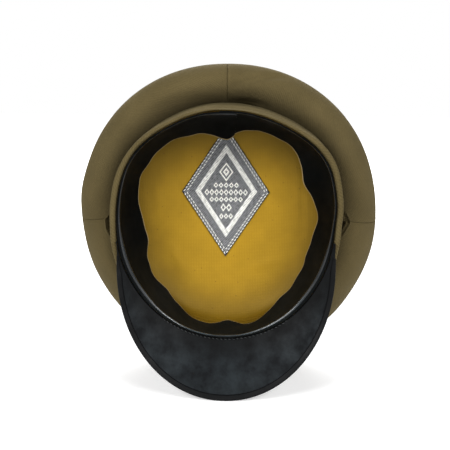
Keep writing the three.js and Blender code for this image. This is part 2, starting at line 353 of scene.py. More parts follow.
# Leatherette, a PVC skin calendered on cotton: almost black, with a fine pressed grain, a low
# gloss that is broken by handling marks, and polish where a fold has been rubbed. fade makes the
# tone change about a middle place in the uv, in metres: near within from, far beyond to.
def calenderedLeatherette(name, look):
    m = newMaterial(name)
    places = addNode(m, "TexCoord").outputs
    marks = addNoise(m, places["Object"], look["markSize"], 6, 0.62)
    colour = addRamp(m, marks, (0.36, look["dark"]), (0.68, look["light"]))
    if "fade" in look:
        fade = look["fade"]
        offset = addNode(m, "VectorMath", {"operation": "SUBTRACT", 1: (*fade["middle"], 0)},
                         {0: places["UV"]})
        oval = addNode(m, "VectorMath", {"operation": "DIVIDE", 1: (*fade["size"], 1)}, {0: offset})
        away = addNode(m, "VectorMath", {"operation": "LENGTH"}, {0: oval}).outputs["Value"]
        colour = multiplied(m, colour, addRange(m, away, (fade["from"], fade["to"]),
                                                (fade["near"], fade["far"]), "SMOOTHSTEP"))
    shine = addRange(m, marks, (0.3, 0.7), (look["roughness"] + 0.1, look["roughness"] - 0.08))
    # Real grain is 0.4 mm across; this is coarser, so that it shows.
    grain = addNode(m, "TexVoronoi", {"Scale": noiseScale(look["grainSize"])},
                    {"Vector": places["Object"]})
    return addSurface(m, {"IOR": 1.5, "Specular IOR Level": look["gloss"]}, colour, grain,
                      look["grainDepth"], Roughness=shine)


# Golden cotton twill, woven and pressed: a satiny yellow with fine upright cords, small dark
# slubs where a thread thickened, soft shadows of old creases, and painted shade towards its sides.
def goldenCottonTwill():
    m = newMaterial("golden cotton twill")
    uv = addNode(m, "TexCoord").outputs["UV"]
    # Threads are 0.35 mm apart; the cords are drawn four times as wide, so that they show.
    weave = addNode(m, "Math", {"operation": "MULTIPLY"},
                    {0: addWaves(m, uv, 1.5, 1.5, 2, 2), 1: addWaves(m, uv, 1.3, 1.5, 2, 2, "Y")})
    tone = addRamp(m, addNoise(m, uv, 26, 4, 0.6), (0.3, "#9a771a"), (0.7, "#aa841e"))
    cloth = multiplied(m, tone, addRange(m, weave, (0, 1), (0.88, 1.07)))
    slub = addNode(m, "TexVoronoi", {"Scale": noiseScale(7), "Randomness": 1.0}, {"Vector": uv})
    flecked = addNode(m, "MixRGB", {"Color2": linear("#5c4216")},
                      {"Fac": addRange(m, slub, (0.05, 0.09), (0.65, 0)), "Color1": cloth})
    # The uv is the plan of the head in metres, so that the sides can be darker: painted shade in the
    # hollow, away from its middle.
    fromMiddle = addNode(m, "VectorMath", {"operation": "DISTANCE", 1: (0, 0.01, 0)}, {0: uv})
    paintedSideShade = addRange(m, fromMiddle.outputs["Value"], (0.046, 0.09), (1, 0.36), "SMOOTHSTEP")
    return addSurface(m, {"Roughness": 0.5, "Specular IOR Level": 0.5, "Specular Tint": linear("#f2d184")},
                      multiplied(m, flecked, paintedSideShade), weave, 0.2)


# Woven rayon: a tight, slightly lustrous ribbed ground, as on a jacquard label, with specks of
# the other colour where the threads cross. They are drawn wider than a thread, so that they show.
def wovenRayon(name, dark, light, roughness, speckSize=1.1):
    m = newMaterial(name)
    uv = addNode(m, "TexCoord").outputs["UV"]
    ribs = addWaves(m, uv, 1.1, 2, 3, 4, "DIAGONAL")
    blend = addNode(m, "Math", {"operation": "MULTIPLY_ADD", 1: 0.4},
                    {0: ribs, 2: addNoise(m, uv, speckSize, 3)})
    return addSurface(m, {"Roughness": roughness, "Specular IOR Level": 0.3},
                      addRamp(m, blend, (0.42, dark), (0.85, light)), blend, 0.2)


# The woven cotton behind leatherette, cut through: matt, and pale beside the dark skin.
def cutCottonBacking():
    m = newMaterial("cut edge of leatherette")
    surface = addNode(m, "BsdfPrincipled",
                      {"Base Color": linear("#8c7a55"), "Roughness": 0.9, "Specular IOR Level": 0.1})
    addNode(m, "OutputMaterial", {}, {"Surface": surface})
    return m


woolTwill = fulledWoolTwill("fulled wool twill")
# The side panels and the band's wall are darker towards where they meet: painted shade under the crown.
quarterTwill = fulledWoolTwill("fulled wool twill of the sides", paintedShade={"from": 5, "to": 27, "darkest": 0.5})
bandTwill = fulledWoolTwill("fulled wool twill of the band", paintedShade={"from": 8, "to": 42, "darkest": 0.35})
biasTwill = fulledWoolTwill("fulled wool twill on the bias", 2.3, 0.12, 35)

# Towards the forehead, 297 mm along the strip, the sweatband is paler, and its fold paler still: a painted
# highlight along the fold.
sweatSkin = calenderedLeatherette("calendered leatherette", {
    "dark": "#030404", "light": "#070808", "roughness": 0.6, "gloss": 0.04,
    "grainSize": 1.4, "grainDepth": 0.08, "markSize": 30,
    "fade": {"middle": (0.297, 0.02), "size": (0.1, 10), "from": 0.3, "to": 1.6, "near": 3.6, "far": 1},
})
# The fold is glossier where rubbed; its paler colour, brightest at the forehead, is a painted highlight.
rubbedSkinWithPaintedHighlight = calenderedLeatherette("rubbed leatherette fold with painted highlight", {
    "dark": "#0a0d0f", "light": "#191e21", "roughness": 0.29, "gloss": 0.55,
    "grainSize": 1.4, "grainDepth": 0.05, "markSize": 18,
    "fade": {"middle": (0.297, 0), "size": (0.06, 10), "from": 0.3, "to": 1.6, "near": 5, "far": 1},
})
cutEdge = cutCottonBacking()

# The underside of the peak is darker beside the head.
peakSkin = calenderedLeatherette("embossed leatherette", {
    "dark": "#04070a", "light": "#1c2225", "roughness": 0.52, "gloss": 0.1,
    "grainSize": 1.3, "grainDepth": 0.1, "markSize": 15,
    "fade": {"middle": (0, 0), "size": (0.09, 0.095), "from": 1.0, "to": 1.3, "near": 0.15, "far": 1},
})
peakFace = calenderedLeatherette("lacquered leatherette", {
    "dark": "#0b0c0e", "light": "#121417", "roughness": 0.25, "gloss": 0.5,
    "grainSize": 2.0, "grainDepth": 0.02, "markSize": 60,
})
bindingSkin = calenderedLeatherette("lacquered edge binding", {
    "dark": "#030405", "light": "#08090a", "roughness": 0.5, "gloss": 0.1,
    "grainSize": 1.2, "grainDepth": 0.04, "markSize": 20,
})
liningCloth = goldenCottonTwill()
labelGround = wovenRayon("woven rayon label ground", "#2d2e30", "#7c7d7f", 0.75, speckSize=2.2)
labelEdge = wovenRayon("overlocked label edge", "#211f1c", "#3a3733", 0.85)
labelThread = wovenRayon("white rayon thread", "#6f6f6b", "#f4f4ee", 0.6, speckSize=2.2)
brightThread = wovenRayon("bleached cotton thread", "#b4b4ac", "#f2f2ea", 0.6)
peakThread = wovenRayon("waxed cotton thread", "#191b1b", "#3c3f3e", 0.7)
print("materials made")


seams = {"front": 0, "right": 89.4, "back": 180.4, "left": 270.6}  # between the side panels

quarters = {
    "wall": 2.3, "roll": 13, "spread": 0.5, "start": 3.3, "foot": 48.6, "seamHalfGap": 0.03,
    "sag": 16,  # how far the slack cloth hangs over the band, at its pulling point
    "backSag": 7, "backHalfAngle": 42,  # how much more it hangs at the back
    "edgeRound": 0.7,  # the cloth turns in at each seam
    "rimRound": 0.9, "rimFade": 10,  # and along the rim, where its folds die out
    "restHalfAngle": 8, "restFade": 4,  # it lies flat where the cap stands on it
    "ridge": 0.35, "ridgeAt": 2.2, "ridgeWidth": 1.2,  # seam allowance raises one side of each seam
    "swell": 0.35, "flutter": 0.25,  # slow and quick waves in the cloth
    "foldRadius": 115, "clothReach": 55,  # of the rim and from band to rim, for measuring folds
    "innerRadius": 93, "middleRadius": 112,  # of the head opening and half way out
    "fineStep": 0.8, "coarseStep": 2.2, "fineReach": 26,
}

crownTop = {
    "dome": 10, "wall": 2.3, "flatShare": 0.25, "lip": 0.3, "leastRise": 0.2,
    "ripple": 0.35, "ripples": 26, "rippleAt": 0.88, "rippleWidth": 0.08,  # small pulls at the seam
    "sag": 0.5, "sagAt": 0.62, "sagWidth": 0.16,
}

# Where a side seam meets the band, the cloth stands off it and leaves a slot.
# side is the angle of the seam; ahead and behind are how far the slot runs each way, and its
# lip goes from base, where the slot ends, to reach, where it is full, outside the band. The
# dark gap along the band starts that far inside the lip, from a place ahead of the seam.
sideSlots = [
    {"side": seams["right"], "ahead": 15.5, "behind": 8, "full": 1, "base": 9.2, "reach": 14.8,
     "gap": 3.2, "gapFrom": 0},
    {"side": seams["left"], "ahead": 20, "behind": 3, "full": 9, "base": 9.6, "reach": 13.2,
     "gap": 1.9, "gapFrom": -9},
]
slot = {
    "depth": 1.7, "ease": 1.6, "gapDepth": 8, "gapEase": 1.2, "gapFade": 4,
    "lip": 1.2, "lipAt": 0.6, "lipWidth": 0.9, "radius": 106,
}

# Soft folds in the side panels: from and to are (angle, share of the way out), depth inwards.
panelFolds = [
    {"from": (177, 0.34), "to": (160, 0.75), "depth": 2.4, "width": 4},
    {"from": (177, 0.02), "to": (164, 0.05), "depth": 2.6, "width": 4},
    {"from": (196, 0.2), "to": (216, 0.3), "depth": 1.6, "width": 7},
    {"from": (158, 0.12), "to": (138, 0.28), "depth": -0.9, "width": 8},
    {"from": (238, 0.3), "to": (252, 0.75), "depth": 0.6, "width": 10},
    {"from": (112, 0.3), "to": (122, 0.8), "depth": 0.6, "width": 10},
    {"from": (52, 0.25), "to": (60, 0.8), "depth": 0.5, "width": 10},
    {"from": (306, 0.25), "to": (298, 0.8), "depth": 0.5, "width": 10},
]


def domeShare(share):
    return np.sqrt(1 - np.maximum(share, crownTop["flatShare"]) ** 3)


placement = findPlacement()


# How far inwards the cloth lies, at a distance from an edge where it turns in with a radius.
def turnedIn(distance, radius):
    return radius - np.sqrt(np.maximum(0, radius**2 - np.maximum(0, radius - distance) ** 2))


# How far the cloth lies inwards of the plain panel, at each angle and share of the way out.
def panelRelief(degrees, share, run, fromSeam, fromNextSeam):
    radius = np.abs(run) + head["halfWidth"]
    relief = quarters["swell"] * np.sin(np.radians(degrees * 5 + 40)) * np.sin(math.pi * share)
    relief = relief + quarters["flutter"] * np.sin(np.radians(degrees * 9 + 200 * share))
    reach = quarters["clothReach"]
    for fold in panelFolds:
        (a0, s0), (a1, s1) = fold["from"], fold["to"]
        place = np.broadcast_arrays(np.radians(degrees - a0) * radius, (share - s0) * reach)
        line = np.array([math.radians(a1 - a0) * quarters["foldRadius"], (s1 - s0) * reach])
        away, t = besideLine(np.stack(place, -1), line)
        relief = relief + fold["depth"] * hump(away, fold["width"]) * np.sin(math.pi * (0.15 + 0.7 * t))
    curl = turnedIn(np.minimum(fromSeam, fromNextSeam), quarters["edgeRound"])
    ridge = quarters["ridge"] * hump(fromSeam - quarters["ridgeAt"], quarters["ridgeWidth"])
    return relief + curl - ridge


# The slot at a side seam: a lip that stands out, a shelf inside it, and a deep gap by the band.
def slotRelief(degrees, run):
    relief = 0
    for row in sideSlots:
        ahead = row["side"] - degrees if row["side"] < 180 else degrees - row["side"]
        along = np.radians(ahead) * slot["radius"]
        span = np.where(along > 0, row["ahead"], row["behind"])
        full = np.where(along > 0, row["full"], 0)
        fade = np.clip(1 - (np.abs(along) - full) / (span - full), 0, 1)
        edge = row["base"] + (row["reach"] - row["base"]) * fade
        here = smoothStep(fade * 4)
        inner = smoothStep((edge - run) / slot["ease"] + 0.5) * here
        gap = (smoothStep((edge - row["gap"] - run) / slot["gapEase"] + 0.5)
               * smoothStep((along - row["gapFrom"]) / slot["gapFade"]) * here)
        lip = hump(run - edge - slot["lipAt"], slot["lipWidth"]) * here
        relief = relief + slot["depth"] * inner + slot["gapDepth"] * gap - slot["lip"] * lip
    return relief


# A side panel: its curve hangs from the band's top, swings out over the band and rises to the rim.
def quarterPanel(name, fromDegrees, toDegrees):
    arc = toDegrees - fromDegrees - 2 * quarters["seamHalfGap"]
    width = math.radians(arc) * quarters["middleRadius"]
    steps = gradedSteps(width, quarters["fineStep"], quarters["coarseStep"], quarters["fineReach"])
    degrees = fromDegrees + quarters["seamHalfGap"] + steps / width * arc
    share = np.concatenate([np.linspace(0, 0.5, 38)[:-1], np.linspace(0.5, 0.93, 18)[:-1],
                            np.linspace(0.93, 1, 8)])
    start, end = ringPoint(degrees, quarters["start"]), rimPoint(degrees)
    outward = end - start
    run = np.linalg.norm(outward, axis=-1)[:, None]
    outward = outward / run
    top = rimHeight(end[:, 1])[:, None]
    foot, roll, spread = quarters["foot"], quarters["roll"], quarters["spread"]
    moreSag = quarters["backSag"] * hump(degrees - 180, quarters["backHalfAngle"])
    rise = (foot - quarters["sag"] - moreSag)[:, None]
    t = share[None, :]
    outs, ups = (0, spread * run, run, run), (foot, rise, top - roll, top)
    out, up, slopeOut, slopeUp = cubic(t, *outs), cubic(t, *ups), cubicSlope(t, *outs), cubicSlope(t, *ups)
    size = np.hypot(slopeOut, slopeUp)
    inOut, inUp = -slopeUp / size, slopeOut / size
    fromSeam = np.radians(degrees - degrees[0])[:, None] * (out + quarters["innerRadius"])
    fromNextSeam = np.radians(degrees[-1] - degrees)[:, None] * (out + quarters["innerRadius"])
    relief = panelRelief(degrees[:, None], t, out, fromSeam, fromNextSeam)
    # The panel turns in along the rim too, and lies flat where the cap stands on it.
    section = np.cumsum(np.hypot(np.diff(out, axis=1, prepend=0), np.diff(up, axis=1, prepend=foot)),
                        axis=1)
    toRim = section[:, -1:] - section
    relief = relief * smoothStep(toRim / quarters["rimFade"]) ** 0.5 + turnedIn(toRim, quarters["rimRound"])
    rest = quarters["restHalfAngle"]
    beyondRest = smoothStep((fromFront(degrees[:, None]) - rest) / rest)
    raised = np.minimum(relief, 0) * beyondRest * smoothStep(toRim / quarters["restFade"])
    relief = np.maximum(relief, 0) + raised + slotRelief(degrees[:, None], out)

    def place(depth):
        flat = start[:, None] + outward[:, None] * (out + inOut * depth)[..., None]
        return lift(flat, up + inUp * depth)

    outside, inside = place(relief), place(np.maximum(relief, 0) * 0.8 + quarters["wall"])
    stations = np.concatenate([outside, inside[:, ::-1]], 1)
    u = np.concatenate([steps, steps[-1:]])
    solid = sweep(stations, (u, lengthsRound(stations[len(stations) // 2])), closed=False)
    piece = addPiece(name + "_panel", solid, [quarterTwill], [name])
    return piece


# The oval top panel: flat in the middle, rounded down to the rim, with faint pulls in the cloth.
def crownTopPanel():
    centre = np.array([0, rim["centre"]])
    degrees = np.arange(0, 360, 1.5)
    turn = np.radians(degrees)[:, None]
    outerShares = 1 - (1 - np.linspace(0, 1, 46)[:-1]) ** 1.8
    innerShares = np.linspace(0.97, 0, 24)
    edge = rimPoint(degrees) - centre
    length = np.linalg.norm(edge, axis=-1, keepdims=True)
    innerEdge = edge * (1 - crownTop["wall"] / length)

    def at(reach, shares, rise):
        plan = centre + reach[:, None] * shares[None, :, None]
        return lift(plan, rimHeight(plan[..., 1]) + seamGap + np.maximum(rise, crownTop["leastRise"]))

    pulls = (crownTop["ripple"] * np.sin(turn * crownTop["ripples"])
             * hump(outerShares - crownTop["rippleAt"], crownTop["rippleWidth"]))
    sag = (-crownTop["sag"] * hump(np.sin(turn * 1.5 + 0.7), 0.5)
           * hump(outerShares - crownTop["sagAt"], crownTop["sagWidth"]))
    outside = at(edge, outerShares, crownTop["dome"] * domeShare(outerShares) + pulls + sag)
    lip = lift(centre + np.stack([edge * (1 - crownTop["lip"] / length), innerEdge], 1),
               (rimHeight((centre + edge)[:, 1]) + seamGap)[:, None])
    inside = at(innerEdge, innerShares, crownTop["dome"] * domeShare(innerShares) - crownTop["wall"])
    solid = sweep(np.concatenate([outside, lip, inside], 1), hub=True)
    piece = addPiece("crown_top_panel", solid, [woolTwill], ["crown_top"])
    return piece


for name, fromDegrees, toDegrees in (
        ("quarter_front_right", seams["front"], seams["right"]),
        ("quarter_back_right", seams["right"], seams["back"]),
        ("quarter_back_left", seams["back"], seams["left"]),
        ("quarter_front_left", seams["left"], 360)):
    quarterPanel(name, fromDegrees, toDegrees)
crownTopPanel()
print("crown made")


band = {
    "height": 48, "inside": 3.3, "outside": 6.5, "corner": 0.5,
    "hemInside": 1.5, "hemOutside": 7, "hemRound": 3, "hemTop": 8.5,
    "wobble": 0.18, "waviness": 0.15,  # how uneven the rolled hem and the wall are
}

# How much thinner the hem is than at the front, every 10 degrees from the front.
hemThinning = [0, 0, 0, 0, 0, 0, 0, 0, 0, 0, 0, 0, 0, 0.3, 1.9, 3, 3.4, 4.2, 4.4, 3.5, 2.4, 2.3, 1.6, 1.3,
               0.6, 0, 0, 0, 0, 0, 0, 0, 0, 0, 0, 0]


# The stiff ring with its cloth rolled under at the lower edge.
def bandRing():
    degrees = np.arange(0, 360, 1.0)
    inside, outside, height, corner = band["inside"], band["outside"], band["height"], band["corner"]
    middle = (band["hemInside"] + band["hemOutside"]) / 2
    half = (band["hemOutside"] - band["hemInside"]) / 2
    turn = np.radians(np.linspace(0, -180, 19))
    roll = np.stack([middle + half * np.cos(turn), band["hemRound"] + band["hemRound"] * np.sin(turn)], -1)
    wall = np.arange(45, 9, -3.0)
    section = np.concatenate([
        [[inside + corner, height], [outside - corner, height], [outside, height - corner]],
        np.stack([outside + 0 * wall, wall], -1),
        [[outside, 8.2], [6.55, 7], [6.75, 6.1], [6.93, 4.8]],
        roll,
        [[1.55, 4.6], [2.0, 5.8], [2.9, 6.9], [inside, 8], [inside, 20], [inside, 34],
         [inside, height - corner]],
    ])
    out, heights = section.T
    around = np.radians(degrees)[:, None]
    low = smoothStep((9 - heights) / 6)[None, :]
    uneven = band["wobble"] * (np.sin(around * 7 + 1) + 0.6 * np.sin(around * 17 + 2)) * low
    waves = band["waviness"] * np.sin(around * 11 + heights / 9) * (1 - low)
    squeezed = np.where(heights < band["hemTop"], (out - band["hemInside"]) / 2 / half,
                        np.where(out > middle, 0.5, 0))
    thinner = np.maximum(readRound(hemThinning, degrees), 0)[:, None] * squeezed
    plan = ringPoint(degrees[:, None], out - np.abs(uneven) * 0.5 - thinner + waves * (out > 6.2))
    stations = lift(plan, heights)
    lengths = (lengthsRound(ringPoint(degrees, 5)), lengthsRound(section))
    isHem = np.tile((heights < band["hemTop"]) | (np.roll(heights, -1) < band["hemTop"]), len(degrees))
    return addPiece("band_ring", sweep(stations, lengths), [bandTwill, biasTwill], ["band"],
                    isHem)


bandRing()
print("band made")


sweatband = {
    "foot": -0.6, "height": 38, "curl": 1.6, "middle": 0.55, "half": 0.65, "radius": 92,
    "footRoundTo": 0.4, "tipRound": 0.6,
    "bead": 0.4, "beadAt": 0.7, "beadWidth": 1.2,  # the fold along its lower edge stands in a little
    "rollRise": 0.5, "rollLeast": 0.3,  # height of the roll for its width
    "frontCrest": (-0.35, 2.8), "backCrest": (-0.2, 0.8),  # how high up the fold is rubbed glossy and painted with a highlight
    "rubbedAndHighlitTo": 128,  # degrees to each side of the front
    "seam": 175, "lap": 9, "lapFade": 12, "lapStep": 1.45,  # its two ends lie over each other
    "cutEdge": 1.5,
    "puckers": [(0.35, 23, 0), (0.3, 14, 50)],  # depth, how many round the head, and turn in degrees
    # Where the free edge droops: angle, how far, and half the width in degrees.
    "droops": [(14, 9.5, 9), (348, 6, 9)],
}

# How far the free edge leans into the opening, every 5 degrees from the front.
sweatbandLean = [
    3, 1.2, 0.1, 0.1, 0.1, 2, 4, 5.6, 6.3, 6.5, 6.9, 7.8, 8.9, 10.4, 11, 11.2,
    10.7, 10.3, 10.7, 12.6, 15.3, 18.5, 21.6, 23.3, 22.5, 19.5, 16.1, 14.5, 13.5, 13.6, 13.8, 13.8,
    13.9, 16.5, 18.7, 21.2, 24.9, 24.3, 21.9, 20.1, 18, 16.2, 14.5, 13.5, 12.8, 12.9, 12.9, 12.7,
    12.2, 11.2, 11, 10.8, 11.8, 13.6, 15.1, 16.2, 16.3, 15.5, 13.4, 10.7, 8.7, 6.7, 6.2, 7,
    7.9, 6.4, 3.9, 1.4, 0.1, 0.1, 0.1, 1.6,
]

# How far its rolled lower edge stands into the opening, every 10 degrees from the front.
sweatbandRoll = [
    0.4, 0.6, 1.6, 2.2, 2.9, 3.4, 3.2, 3.2, 2, 0.6, 0.2, 0.2, 0.2, 0.2, 0.2, 0.2, 0.2, 0.2, 0.2, 0.2,
    0.2, 0.3, 0.3, 0.4, 0.5, 0.9, 1.1, 1.6, 3.3, 3.9, 3.4, 3.2, 2, 1.2, 0.4, 0.2,
]


def sweatbandStrip():
    turned = np.arange(0, 360 + sweatband["lap"] + 0.01, 0.9)
    degrees = sweatband["seam"] + turned
    foot, height, footRoundTo = sweatband["foot"], sweatband["height"], sweatband["footRoundTo"]
    # Its rows lie closest at the lower fold and at the cut edge.
    ups = np.concatenate([[foot, -0.57, -0.48, -0.33, -0.12, 0.12, 0.4, 0.75, 1.1, 1.5, 2, 2.6, 3.3],
                          np.linspace(4.4, height - 1.6, 24),
                          height - np.array([1.1, 0.7, 0.5, 0.35, 0.2, 0.08, 0])])
    bottom = np.clip((footRoundTo - ups) / (footRoundTo - foot), 0, 0.995)
    tip = np.clip((ups - height + sweatband["tipRound"]) / sweatband["tipRound"], 0, 0.97)
    half = sweatband["half"] * np.sqrt(1 - bottom**2) * np.sqrt(1 - tip**2)
    bead = (sweatband["bead"] * hump(ups - sweatband["beadAt"], sweatband["beadWidth"])
            * np.sqrt(1 - bottom**2))
    outer, inner = sweatband["middle"] + half, sweatband["middle"] - half - bead
    out = np.concatenate([outer, inner[::-1]])
    up = np.concatenate([ups, ups[::-1]])
    lean = readRound(sweatbandLean, degrees)[:, None]
    high = np.clip(up / height, 0, 1)
    droop = sum(depth * hump(fromFront(degrees - angle), width)
                for angle, depth, width in sweatband["droops"])[:, None]
    pucker = sum(depth * np.sin(np.radians(degrees * count + turn))
                 for depth, count, turn in sweatband["puckers"])[:, None]
    lap = sweatband["lapStep"] * smoothStep(1 - (turned - sweatband["lap"]) / sweatband["lapFade"])[:, None]
    roll = readRound(sweatbandRoll, degrees)[:, None]
    rolled = np.clip(1 - (up - foot) / (sweatband["rollRise"] * roll + sweatband["rollLeast"]), 0, 1)
    inwards = (lean * high ** sweatband["curl"] + pucker * high**2 + roll * np.sqrt(1 - rolled**2)
               + lap * (0.3 + 0.7 * smoothStep((up - foot) / 1.5)))
    stations = lift(ringPoint(degrees[:, None], out - inwards), up - droop * high**1.5)
    along = np.radians(turned) * sweatband["radius"]
    lengths = (np.append(along, along[-1]), lengthsRound(np.stack([out, up], -1)))
    # 1 is the cut edge and 2 the rubbed fold with its painted highlight, as the materials are listed below.
    isEdge = up > height - sweatband["cutEdge"]
    kinds = []
    for angle in degrees[:-1]:
        low, top = sweatband["frontCrest" if fromFront(angle) < sweatband["rubbedAndHighlitTo"] else "backCrest"]
        isFold = (up > low) & (up < top)
        kind = np.where(isFold & np.roll(isFold, -1), 2, 0)
        kinds.append(np.where(isEdge & np.roll(isEdge, -1), 1, kind))
    kinds = np.concatenate(kinds + [np.full(2 * (len(ups) - 1), 2)])
    piece = addPiece("sweatband_strip", sweep(stations, lengths, closed=False),
                     [sweatSkin, cutEdge, rubbedSkinWithPaintedHighlight], ["sweatband"], kinds)
    return piece


sweatbandStrip()
print("sweatband made")


lining = {
    "wall": 1.2, "outside": 2.9, "foot": 41, "side": 48, "ceiling": 68, "squareness": 3.8,
    "waviness": 0.25, "creaseFade": 0.08,  # the face is smooth beside its edge
}

# Soft creases in the lining's face, as lines in plan: depth is towards the head.
liningCreases = [
    {"from": (60, -48), "to": (63, 22), "depth": 1.0, "width": 3.2},
    {"from": (70, -30), "to": (71, 26), "depth": 0.9, "width": 2.6},
    {"from": (40, -66), "to": (58, -50), "depth": 0.8, "width": 3},
    {"from": (-52, 30), "to": (-40, 56), "depth": 0.6, "width": 4},
    {"from": (-66, -42), "to": (-62, 4), "depth": 0.7, "width": 4},
    {"from": (20, 52), "to": (46, 44), "depth": 0.5, "width": 4},
]


# The lining's upper face over a point in plan, without the creases on its underside.
def liningHeight(plan):
    reach = np.array([head["halfWidth"], head["halfLength"]]) + lining["outside"]
    share = np.clip(np.linalg.norm(plan / reach, axis=-1), 0, 1)
    rise = lining["ceiling"] - lining["side"]
    return lining["side"] + rise * np.sqrt(1 - share ** lining["squareness"])


def creaseDepth(plan):
    depth = lining["waviness"] * np.sin(plan[..., 0] / 11 + 0.6) * np.sin(plan[..., 1] / 17 + 1.2)
    for crease in liningCreases:
        start = np.array(crease["from"])
        away, t = besideLine(plan - start, np.array(crease["to"]) - start)
        depth = depth + crease["depth"] * hump(away, crease["width"]) * np.sin(math.pi * (0.1 + 0.8 * t))
    return depth


def liningShell():
    degrees = np.arange(0, 360, 1.8)
    shares = 1 - (1 - np.linspace(0, 1, 50)[:-1]) ** 1.6
    side = np.array([lining["side"], 46, 44, 42.5, 41.3, lining["foot"]])
    outer = ringPoint(degrees, lining["outside"])
    inner = ringPoint(degrees, lining["outside"] - lining["wall"])
    upper = outer[:, None] * shares[:, None]
    lower = inner[:, None] * shares[::-1, None]
    stretch = (np.linalg.norm(outer, axis=-1) / np.linalg.norm(inner, axis=-1))[:, None, None]
    face = liningHeight(lower * stretch) - lining["wall"]
    face = face - (creaseDepth(lower) + 0.3) * smoothStep((1 - shares[::-1]) / lining["creaseFade"])
    stations = np.concatenate([
        lift(upper, liningHeight(upper)),
        lift(np.repeat(outer[:, None], len(side), 1), side),
        lift(np.repeat(inner[:, None], len(side) - 1, 1), side[:0:-1]),
        lift(lower, face),
    ], 1)
    piece = addPiece("lining_dome", sweep(stations, hub=True), [liningCloth], ["lining"])
    return piece


label = {
    "halfWidth": 39.2, "halfLength": 59.4, "middle": (-2.2, -18), "wall": 0.8, "gap": 0.75,
    "overlock": 0.8,  # the dark bound edge
    "puff": 0.25, "puffWidth": 1.2, "fray": 0.22,  # it is thinner and a little uneven at its edge
    "rows": (1.2, 3.4), "stitchPitch": 3.2, "stitchLength": 2.3, "stitchWidth": 0.95, "stitchHeight": 0.3,
}
labelFrame = {"middle": (-1.9, -18.6), "halfWidth": 25.2, "halfLength": 38.4, "width": 4.2, "raise": 0.35}
markRaise = 0.22

# Rows of small woven lozenges inside the frame: how many, how far apart, and their half sizes.
labelMarks = [
    {"y": -36, "count": 1, "pitch": 0, "halfWidth": 5.6, "halfLength": 7.6, "width": 1.2},
    {"y": -36, "count": 1, "pitch": 0, "halfWidth": 2.0, "halfLength": 2.8, "width": 1.6},
    {"y": -24, "count": 5, "pitch": 4.6, "halfWidth": 1.6, "halfLength": 1.9, "width": 0.9},
    {"y": -17.6, "count": 9, "pitch": 4.3, "halfWidth": 1.6, "halfLength": 2.3, "width": 0.9},
    {"y": -11.2, "count": 7, "pitch": 4.3, "halfWidth": 1.6, "halfLength": 1.9, "width": 0.9},
    {"y": -3.8, "count": 2, "pitch": 5.0, "halfWidth": 1.9, "halfLength": 2.9, "width": 1.0},
    {"y": 4.2, "count": 3, "pitch": 4.2, "halfWidth": 1.5, "halfLength": 2.0, "width": 0.9},
]
lozengeCorners = np.array([[0, -1], [1, 0], [0, 1], [-1, 0], [0, -1]], float)


# Height of the label's lower face, the one that shows, over a point in plan.
def labelFace(plan):
    return liningHeight(plan) - lining["wall"] - label["gap"] - label["wall"]


# How far the middle of a lozenge is from each of its sides.
def lozengeInset(halfWidth, halfLength):
    return halfWidth * halfLength / math.hypot(halfWidth, halfLength)


def labelPatch():
    steps = np.linspace(-0.5, 0.5, 60)
    first, second = np.meshgrid(steps, steps, indexing="ij")
    across = label["middle"][0] + label["halfWidth"] * (first - second)
    along = label["middle"][1] + label["halfLength"] * (first + second)
    edge = 0.5 - np.maximum(np.abs(first), np.abs(second))
    fray = label["fray"] * np.sin(across * 5.1 + along * 3.7) * (edge < 1e-6)
    plan = np.stack([across, along], -1) * (1 - fray / 60)[..., None]
    toEdge = edge * math.hypot(label["halfWidth"], label["halfLength"])
    puff = label["puff"] * smoothStep(toEdge / label["puffWidth"])
    low = lift(plan, labelFace(plan) + label["puff"] - puff)
    high = lift(plan, labelFace(plan) + label["wall"])
    stations = np.concatenate([high, low[:, ::-1]], 1)
    solid = sweep(stations, closed=False)
    middle = stations.reshape(-1, 3)[solid[1]].mean(1)
    share = (np.abs(middle[:, 0] - label["middle"][0]) / label["halfWidth"]
             + np.abs(middle[:, 1] - label["middle"][1]) / label["halfLength"])
    depth = (1 - share) * lozengeInset(label["halfWidth"], label["halfLength"])
    piece = addPiece("label_cloth_patch", solid, [labelGround, labelEdge], ["label_patch"],
                     depth < label["overlock"])
    return piece


# A raised woven strip that runs round a lozenge on the label.
def lozengeStrip(middle, halfWidth, halfLength, width, height, perSide):
    t = np.linspace(0, 1, perSide + 1)[:-1, None]
    outline = np.concatenate([start + (end - start) * t
                              for start, end in zip(lozengeCorners[:-1], lozengeCorners[1:])])
    across = np.linspace(-1, 1, 6)
    size = 1 + across * width / 2 / lozengeInset(halfWidth, halfLength)
    plan = middle + outline[:, None] * size[:, None] * np.array([halfWidth, halfLength])
    base = labelFace(plan)
    bulge = height * (1 - np.abs(across) ** 3)
    top = lift(plan, base + 0.1)
    low = lift(plan, base - 0.04 - bulge)
    return sweep(np.concatenate([top, low[:, ::-1]], 1))


# Small stitches of thread, each a short bead along its direction.
def stitches(places, directions, normals, length, width, height):
    lengthwise = np.array([-0.5, -0.4, -0.2, 0, 0.2, 0.4, 0.5])
    swell = np.array([0.3, 0.75, 0.97, 1, 0.97, 0.75, 0.3])
    turn = np.radians(np.arange(6) * 60 + 30)
    sideways = np.cross(directions, normals)
    ring = (sideways[:, None, :] * (np.cos(turn) * width / 2)[None, :, None]
            + normals[:, None, :] * (np.sin(turn) * height)[None, :, None])
    along = directions[:, None, None] * (lengthwise * length)[None, :, None, None]
    stations = places[:, None, None] + along + ring[:, None] * swell[None, :, None, None]
    return joined([sweep(each, closed=False) for each in stations])


